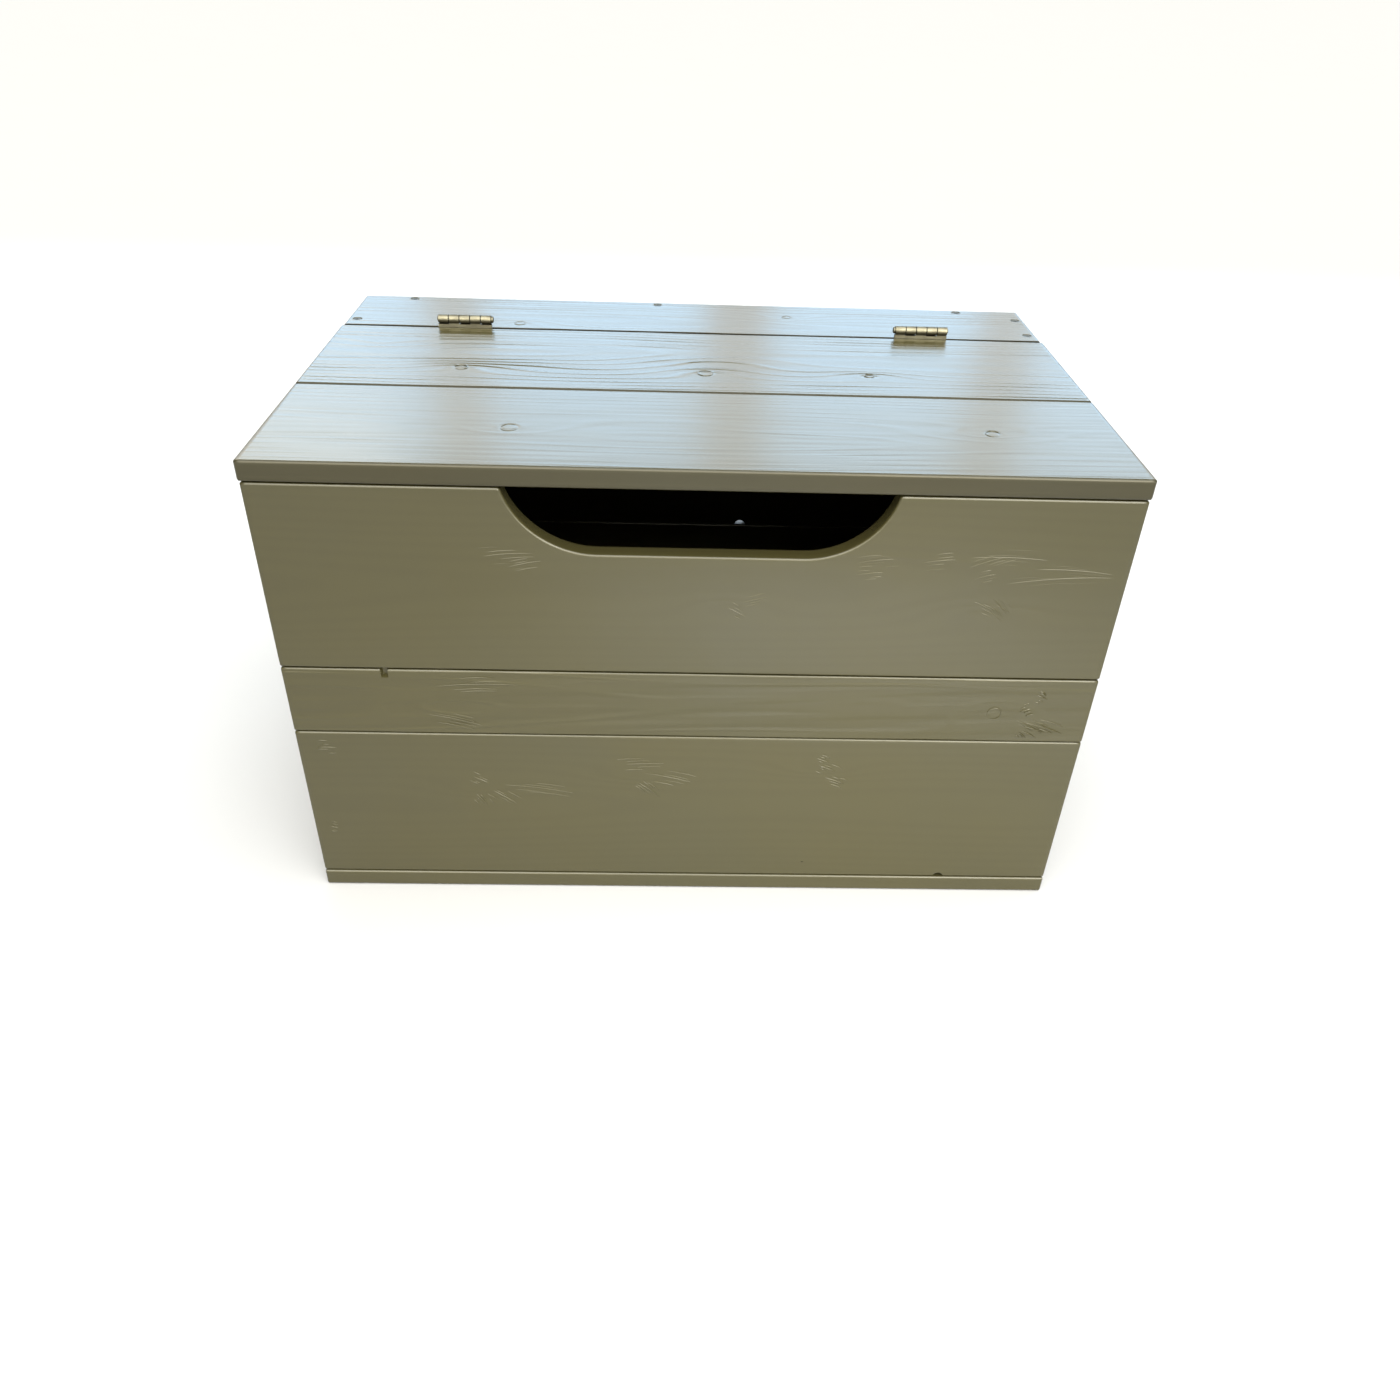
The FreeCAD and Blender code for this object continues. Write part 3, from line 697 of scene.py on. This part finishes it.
def hollowBoard(local, look, size):
    # lower edge: a half-round notch at each lost knot, raised to across = sqrt(radius^2 - x^2) as far in as
    # it reaches; upper edge: a chip whose floor falls from its outline to its full depth over a millimetre
    along, across, depth = np.moveaxis(local, -1, 0)
    x = along - size[0] / 2
    cut = np.zeros(along.shape, bool)
    for notchX, radius, reach in look["notches"]:
        lift = np.sqrt(np.clip(radius ** 2 - (x - notchX) ** 2, 0, None))
        inside = (depth < reach) & (across < lift)
        across = np.where(inside, lift, across)
        cut = cut | inside
    for chipX, wide, tall, deep in look["chips"]:
        margin = np.minimum(wide / 2 - np.abs(x - chipX), across - (size[1] - tall))
        floor = deep * np.clip(margin / mm, 0, 1)
        cut = cut | (depth < floor)
        depth = np.maximum(depth, floor)
    return np.stack([along, across, depth], axis=-1), cut


def dressedMesh(name, skins, look, size):
    # one mesh of the board and its raised lines, with what the paint reads at each point
    points, corners, starts = joinSkins([world for local, world, shade in skins])
    local = np.concatenate([local.reshape(-1, 3) for local, world, shade in skins])
    shade = np.concatenate([shade.ravel() for local, world, shade in skins])
    mesh = buildMesh(name, points, corners, starts)
    placeData = mesh.attributes.new("boardPlace", "FLOAT_VECTOR", "POINT").data
    placeData.foreach_set("vector", local.astype(np.float32).ravel())
    for label, values in (("growthRings", growthRings(look, local, size)), ("seamShade", shade)):
        mesh.attributes.new(label, "FLOAT", "POINT").data.foreach_set("value", values.astype(np.float32))
    return mesh


def paintedBoard(node, look):
    # the section loops of the CAD board's box, moved along their normals by the relief, with the raised
    # lines as skins of their own; the lower edge gets painted shade, falling as e^-(depth / reach)^4
    axes = [np.array(v, float) for v in boardAxes[look["side"]]]
    low, high = (np.array(v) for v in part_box(node))
    size = [float(abs(axis) @ (high - low)) for axis in axes]
    corner = np.where(axes[0] + axes[1] - axes[2] > 0, low, high)
    setBack, gap = look["trim"]
    corner = corner - axes[2] * setBack + axes[1] * gap
    size = [size[0], size[1] - gap, size[2] - setBack]
    seats = {"top": railSeats, "base": baseSeats}.get(look["side"], np.zeros((0, 3)))  # of sunk screws
    seats = seats[((seats > low - mm) & (seats < high + mm)).all(axis=1)]
    dishes = np.stack([(seats - corner) @ axes[0], (seats - corner) @ axes[1]], axis=1)
    ease = boardForm["sideEase" if look["side"] in ("left", "right") else "endEase"]
    columnSpots, rowSpots = focusSpots(look, size, dishes)
    columns = crowded(ease, size[0] - ease, look["columnStep"], columnSpots)
    rows = crowded(0, size[1], look["rowStep"], rowSpots) / size[1]
    if look["scooped"]:
        upper, ways = scoopOutline(size, columns)
    else:
        upper = np.stack([columns, np.full(len(columns), size[1])], axis=1)
        ways = np.tile([[0.0, 1.0]], (len(columns), 1))
    local, weight, lowerRim = boardRings(upper, ways, size, rows, ease)
    local, cut = hollowBoard(local, look, size)
    # painted shade on the lower or front edge: the far walls of the lid's grooves and the lid's front edge
    amount, reach = look["rimShade"]
    onEdge = np.clip(boardForm["shadeGain"] * lowerRim, 0, 1)
    shade = amount * onEdge * np.exp(-(local[..., 2] / reach) ** 4)
    relief = faceRelief(look, local, size, growthRings(look, local, size), dishes) * weight * ~cut
    toWorld = np.array([axes[0], axes[1], -axes[2]])
    world = corner + local @ toWorld
    skins = [(local, world + outwardNormals(world) * relief[..., None], shade)]
    for path, strength, darkness in grainLines(look, size):
        line = raisedLine(path, strength, size, setBack)
        skins.append((line, corner + line @ toWorld, np.full(line.shape[:2], darkness)))
    words = node.split("_")
    name = words[0] + "".join(word.title() for word in words[1:]) + "Painted"
    addPiece(dressedMesh(name, skins, look, size), node, boardPaint)


def millimetres(count, *rows):
    # rows whose first values, as many as the count says, are lengths in millimetres
    return [tuple(value * mm for value in row[:count]) + row[count:] for row in rows]


plainLook = {
    "pithDepth": 40 * mm, "pithAcross": 0.5, "taper": 0.02, "swell": 4 * mm, "swellLength": 620 * mm,
    "ringWidth": 9 * mm, "wander": 0.12, "wanderLengths": (700 * mm, 80 * mm, 80 * mm),
    "ridge": 0.05 * mm, "foot": 0.30, "crest": 0.74, "chatter": 0.002 * mm,
    "knotRidge": 0.06 * mm, "knotLift": 2.2, "knotReach": (8.0, 2.6), "fleckStrength": 1.0,
    "knots": [], "swells": [], "flecks": [], "cracks": [], "notches": [], "chips": [],
    "scooped": False, "trim": (0.0, 0.0), "rimShade": (0.0, 1 * mm),
    "columnStep": 4.5 * mm, "rowStep": 2.2 * mm,
}

lidLook = {
    **plainLook, "side": "top", "ridge": 0.12 * mm, "foot": 0.50, "crest": 0.78,
    "columnStep": 3.4 * mm, "rowStep": 0.8 * mm,
}

frontLook = {
    **plainLook, "side": "front", "ridge": 0.05 * mm, "foot": 0.55, "crest": 0.80,
    "columnStep": 4.0 * mm, "rowStep": 1.1 * mm,
}

# knots: along from the board's middle, across from its lower or front edge, radius
# swells: middle along and across, reach along and across, lift in rings
# flecks: middle along and across, length, angle in degrees; cracks: the same, and how dark their painted
# shade is
# notches: middle along, radius, reach into the board; chips: middle along, width, height, depth
# trim: how far the paint is set back from the CAD face, and the gap below or in front of the board
# rimShade: painted shade on the lower or front edge, how dark and to what depth
seenBoards = {
    "lid_front_board": {
        **lidLook, "seed": 11, "pithAcross": 0.45, "ringWidth": 8.5 * mm, "ridge": 0.09 * mm,
        # painted shade darkens the lid's front edge
        "columnStep": 4.0 * mm, "rowStep": 0.9 * mm, "rimShade": (0.45, 40 * mm),
        "knots": millimetres(3, (-176, 88, 8), (278, 99, 7)),
        "swells": millimetres(4, (70, 94, 150, 15, 1.4)),
    },
    "lid_rear_board": {
        **lidLook, "seed": 24, "pithAcross": 0.55, "ringWidth": 8 * mm, "ridge": 0.25 * mm,
        # painted shade on the far wall of the groove between the lid boards
        "knotRidge": 0.16 * mm, "trim": (0.0, 1.6 * mm), "rimShade": (0.75, 6 * mm),
        "knots": millimetres(3, (-246, 58, 7), (9, 57, 8), (182, 61, 5)),
        "swells": millimetres(4, (15, 90, 105, 22, 2.6), (-165, 70, 90, 26, 1.2), (-345, 128, 60, 20, 1.5)),
    },
    "rear_rail": {
        **lidLook, "seed": 35, "pithAcross": 0.3, "ringWidth": 7 * mm, "ridge": 0.20 * mm,
        # painted shade on the far wall of the groove between lid and rail
        "columnStep": 4.0 * mm, "rowStep": 0.9 * mm, "rimShade": (1.0, 6 * mm),
        "knots": millimetres(3, (-203, 20, 6), (110, 70, 5)),
    },
    "front_upper_board": {
        **frontLook, "seed": 41, "scooped": True, "trim": (0.9 * mm, 0.9 * mm), "fleckStrength": 0.78,
        "swells": millimetres(4, (268, 74, 60, 16, 2.0), (30, 76, 40, 12, 2.0)),
        "flecks": millimetres(
            3, (285, 82, 29, -45), (274, 79, 34, -28), (38, 70, 23, -29), (55, 84, 27, 15),
            (221, 128, 36, 8), (266, 128, 37, 20), (266, 113, 24, 17), (337, 109, 119, 5),
            (-173, 126, 53, 5), (-158, 117, 36, 13), (286, 131, 87, -1), (348, 119, 86, -3),
            (159, 114, 29, 7), (163, 127, 39, 8),
        ),
    },
    "front_middle_board": {
        **frontLook, "seed": 52, "ridge": 0.40 * mm, "foot": 0.64, "crest": 0.84, "rowStep": 0.7 * mm,
        "trim": (0.9 * mm, 0.2 * mm), "fleckStrength": 1.8,
        "chips": millimetres(4, (-301, 7, 9, 5)),
        "knots": millimetres(3, (303, 35, 7)),
        "swells": millimetres(4, (-240, 34, 60, 12, 2.0)),
        "flecks": millimetres(
            3, (-237, 17, 56, -14), (-212, 59, 82, 2), (334, 40, 11, 22), (342, 19, 33, -29),
            (356, 18, 44, -18), (337, 8, 11, -40), (348, 56, 13, -23),
        ),
    },
    "front_lower_board": {
        **frontLook, "seed": 63, "trim": (0.9 * mm, 0.4 * mm), "fleckStrength": 1.6,
        "notches": millimetres(3, (280, 6, 12)),
        "swells": millimetres(4, (-222, 118, 50, 12, 2.0), (-55, 138, 50, 12, 2.0), (130, 150, 50, 12, 2.0)),
        # a crack and pit drawn as painted shade
        "cracks": millimetres(3, (126, 20, 3, 20, 1.0)),
        "flecks": millimetres(
            3, (-218, 131, 18, -29), (-195, 108, 31, -36), (-219, 104, 19, -54), (-158, 119, 82, -8),
            (-24, 137, 52, -13), (-43, 120, 30, -41), (-48, 155, 41, 3), (142, 152, 21, -25),
            (151, 136, 24, -22), (136, 163, 15, -20), (-380, 63, 9, -18), (-371, 171, 22, 0),
        ),
    },
}

unseenForm = {
    "twoKnots": 0.1,         # metres, boards wider than this have two
    "along": 0.4,            # reach from the middle, in the length
    "across": (0.25, 0.75),  # in the width
    "radius": (4 * mm, 8 * mm),
    "seeds": (100, 7),       # the first, and the step from board to board
}

# the notch shows through the cut-out as a spot of daylight; the back's own along axis is -X
knownHollows = {"back_middle_board": {"notches": millimetres(3, (-69.5, 7.2, 21))}}


def unseenLook(node, side, seed):
    # boards that the photograph doesn't show: a few knots at seeded places
    low, high = (np.array(v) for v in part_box(node))
    along, across = (np.abs(np.array(axis)) for axis in boardAxes[side][:2])
    length, width = along @ (high - low), across @ (high - low)
    draw = np.random.default_rng(seed)
    count = 2 if width > unseenForm["twoKnots"] else 1
    reach = unseenForm["along"] * length
    nearEdge, farEdge = (share * width for share in unseenForm["across"])
    smallest, largest = unseenForm["radius"]
    places = draw.uniform((-reach, nearEdge, smallest), (reach, farEdge, largest), (count, 3))
    look = {**plainLook, "side": side, "seed": seed, "knots": [tuple(row) for row in places]}
    return {**look, **knownHollows.get(node, {})}


for node, look in seenBoards.items():
    paintedBoard(node, look)
wallLevels = ("lower", "middle", "upper")
unseenNodes = [
    (side + "_" + level + "_board", side) for side in ("back", "left", "right") for level in wallLevels
]
unseenNodes += [("base_" + row + "_board", "base") for row in ("front", "middle", "rear")]
firstSeed, seedStep = unseenForm["seeds"]
for number, (node, side) in enumerate(unseenNodes):
    paintedBoard(node, unseenLook(node, side, firstSeed + seedStep * number))
print("boards:", len(seenBoards) + len(unseenNodes))


# Battens, hinges and screws keep their CAD shape

weldForm = {"gap": 0.002 * mm, "crease": np.radians(28)}


def finishNodes(names, material):
    # the CAD triangles are loose: welded and split at their creases they shade as smooth metal or wood
    for name in names:
        node = frame["nodes"][name]
        node.data.materials.clear()
        node.data.materials.append(material)
        node.data.shade_smooth()
        weld = node.modifiers.new("weld", "WELD")
        weld.merge_threshold = weldForm["gap"]
        crease = node.modifiers.new("crease", "EDGE_SPLIT")
        crease.split_angle = weldForm["crease"]


finishNodes([n for n in bodyOfNode if n.endswith("_batten") and "lid" not in n], uprightPaint)
finishNodes(["left_lid_batten", "right_lid_batten"], crossPaint)
for side, brass in hingeBrass.items():
    finishNodes([n for n in bodyOfNode if n.startswith(side + "_hinge")], brass)
finishNodes(["lid_hinge_screws", "rail_hinge_screws"], screwBrass)
finishNodes(["corner_screws", "base_screws", "lid_batten_screws"], screwZinc)
finishNodes(["rail_screws"], screwPaint)
print("battens, hinges and screws dressed")


# Floor, light and camera

stageLook = {
    "floorSide": 60.0,
    "floorPale": (0.50, 0.50, 0.50, 1.0),
    "floorShade": (0.4925, 0.4925, 0.4925, 1.0),
    "floorClouds": (3.0, 3.0, 3.0),  # per metre
    "floorRoughness": 0.9,
    "worldWhite": (0.97, 0.98, 1.0, 1.0),
    "worldStrength": 0.15,
    "skyCap": {"power": 6.45, "angle": 80.0, "from": (0.10, -0.37, 1.0), "tint": (1.0, 0.985, 0.93)},
}


def makeFloor():
    half = stageLook["floorSide"] / 2
    mesh = bpy.data.meshes.new("paleFloor")
    corners = [(-half, -half, 0), (half, -half, 0), (half, half, 0), (-half, half, 0)]
    mesh.from_pydata(corners, [], [(0, 1, 2, 3)])
    material, tree, shader = newMaterial("floorWhite")
    clouds = noise(tree, stretched(tree, fromObject(tree), stageLook["floorClouds"]), detail=3.0)
    tint = blendColour(tree, clouds, stageLook["floorPale"], stageLook["floorShade"])
    tree.links.new(tint, shader.inputs["Base Color"])
    shader.inputs["Roughness"].default_value = stageLook["floorRoughness"]
    mesh.materials.append(material)
    floor = bpy.data.objects.new("paleFloor", mesh)
    bpy.context.scene.collection.objects.link(floor)


def makeWorld():
    world = bpy.data.worlds.new("studio")
    world.use_nodes = True
    background = world.node_tree.nodes["Background"]
    background.inputs["Color"].default_value = stageLook["worldWhite"]
    background.inputs["Strength"].default_value = stageLook["worldStrength"]
    bpy.context.scene.world = world


# soft panels: middle, aim, width and height in metres, radiance, tint; mirrored: seen in the gloss;
# lighting: lights the rest; the lid mirrors the rear wall and its windows, and the fronts of the raised
# lines mirror the room in front
window = {"wide": 0.76, "tall": 1.20, "radiance": 2.5, "tint": (0.24, 0.62, 1.0)}
roomGlow = {"aim": (0.0, 0.0, 0.3), "tint": (1.0, 0.97, 0.84), "lighting": False}
softPanels = {
    "rearWall": {
        "at": (0.1, 2.6, 1.45), "wide": 4.8, "tall": 1.3, "radiance": 1.80, "tint": (0.95, 0.97, 1.0),
    },
    "rearHigh": {
        "at": (0.0, 2.55, 1.82), "wide": 4.4, "tall": 0.6, "radiance": 1.6, "tint": (1.0, 0.92, 0.77),
    },
    "rearLeft": {**window, "at": (-1.20, 2.5, 1.38)},
    "rearMiddle": {**window, "at": (-0.28, 2.5, 1.38), "wide": 0.72},
    "rearRight": {**window, "at": (0.63, 2.5, 1.38), "wide": 0.68},
    "rearFar": {**window, "at": (1.54, 2.5, 1.38)},
    "lowFront": {
        "at": (0.18, -0.95, 0.17), "aim": (0.16, -0.25, 0.17), "wide": 0.7, "tall": 0.28, "radiance": 9.6,
        "tint": (0.96, 0.97, 1.0), "mirrored": False,
    },
    "frontRoom": {**roomGlow, "at": (0.3, -3.2, 1.9), "wide": 6.0, "tall": 3.8, "radiance": 3.4},
    "frontRight": {**roomGlow, "at": (1.25, -2.8, 1.7), "wide": 1.3, "tall": 2.4, "radiance": 7.0},
    "frontLeft": {**roomGlow, "at": (-1.0, -2.8, 1.6), "wide": 1.3, "tall": 2.4, "radiance": 3.5},
    "warmCorner": {
        "at": (-1.65, 2.45, 1.85), "wide": 1.4, "tall": 0.6, "radiance": 2.0, "tint": (1.0, 0.82, 0.55),
    },
    "bounceCard": {
        "at": (0.47, -0.57, 0.03), "aim": (0.43, -0.25, 0.25), "wide": 0.9, "tall": 0.36, "radiance": 0.36,
        "tint": (0.5, 0.65, 1.0),
    },
}


def aimed(place, target):
    # a frame whose Z points back from the target, with X level
    back = np.array(place) - np.array(target)
    back = back / np.linalg.norm(back)
    side = np.cross((0.0, 0.0, 1.0), back)
    side = side / np.linalg.norm(side)
    up = np.cross(back, side)
    turn = np.eye(4)
    turn[:3] = np.stack([side, up, back, np.array(place)], axis=1)
    return Matrix(turn.tolist())


def makePanels():
    for name, panel in softPanels.items():
        light = bpy.data.lights.new(name, "AREA")
        light.shape = "RECTANGLE"
        light.size, light.size_y = panel["wide"], panel["tall"]
        light.energy = panel["radiance"] * np.pi * panel["wide"] * panel["tall"]
        light.color = panel["tint"]
        lamp = bpy.data.objects.new(name, light)
        lamp.matrix_world = aimed(panel["at"], panel.get("aim", (panel["at"][0], 0.0, panel["at"][2])))
        lamp.visible_camera = False
        lamp.visible_glossy = panel.get("mirrored", True)
        lamp.visible_diffuse = panel.get("lighting", True)
        bpy.context.scene.collection.objects.link(lamp)


def makeSkyCap():
    # a wide, even patch of sky above and a little in front
    cap = stageLook["skyCap"]
    light = bpy.data.lights.new("skyCap", "SUN")
    light.energy = cap["power"]
    light.angle = np.radians(cap["angle"])
    light.color = cap["tint"]
    lamp = bpy.data.objects.new("skyCap", light)
    lamp.matrix_world = aimed(cap["from"], (0.0, 0.0, 0.0))
    bpy.context.scene.collection.objects.link(lamp)


cameraLook = {
    "at": (-26.6 * mm, -1156.5 * mm, 898.7 * mm),
    "pitch": 35.291, "roll": -1.723, "yaw": -0.882,  # degrees
    "focalPixels": 1118.4,
    "picturePixels": 1400,
    "sensorWidth": 36.0,  # millimetres, as Blender's cameras have it
    "clip": (0.05, 200.0),  # metres
}


def makeCamera():
    data = bpy.data.cameras.new("photoCamera")
    data.sensor_width = cameraLook["sensorWidth"]
    data.lens = data.sensor_width * cameraLook["focalPixels"] / cameraLook["picturePixels"]
    data.clip_start, data.clip_end = cameraLook["clip"]
    camera = bpy.data.objects.new("photoCamera", data)
    pitch, roll, yaw = (np.radians(cameraLook[key]) for key in ("pitch", "roll", "yaw"))
    tilt = Matrix.Rotation(np.pi / 2 - pitch, 4, "X")
    turn = Matrix.Rotation(yaw, 4, "Z") @ Matrix.Rotation(roll, 4, "Y") @ tilt
    camera.matrix_world = Matrix.Translation(cameraLook["at"]) @ turn
    bpy.context.scene.collection.objects.link(camera)
    bpy.context.scene.camera = camera


makeFloor()
makeWorld()
makePanels()
makeSkyCap()
makeCamera()
bpy.context.scene.view_settings.view_transform = "Standard"
bpy.context.scene.view_settings.look = "None"
print("stage: floor, world,", len(softPanels), "panels and camera")
